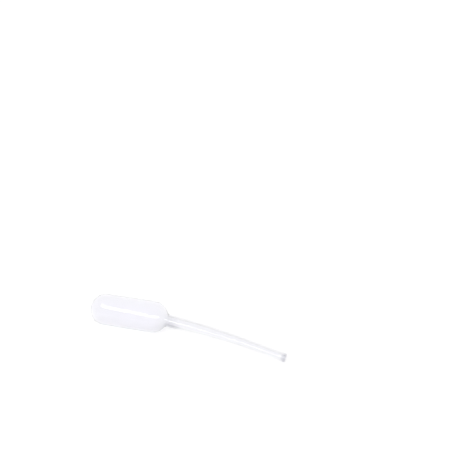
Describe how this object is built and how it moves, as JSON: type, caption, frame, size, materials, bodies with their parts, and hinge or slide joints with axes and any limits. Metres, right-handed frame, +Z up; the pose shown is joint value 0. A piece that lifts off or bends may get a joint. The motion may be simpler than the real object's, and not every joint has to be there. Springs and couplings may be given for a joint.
{
  "type": "dropper pipette",
  "caption": "Disposable squeeze dropper: a capsule-shaped bulb moulded together with a slightly bowed, tapered hollow stem, lying at rest; draws up and drips small amounts of liquid.",
  "frame": {"origin": "centre of the bounding box's bottom face, on the surface that the pipette lies on", "axes": "+X along the bulb's axis, from its closed end towards the tip; +Z up from the surface; the stem is set towards -Y and down"},
  "size_m": [0.095, 0.0169, 0.015],
  "materials": {
    "plastic": "translucent soft polyethylene with a low satin sheen, very faintly blue"
  },
  "bodies": {
    "root": {"pipette": "plastic"}
  },
  "joints": []
}
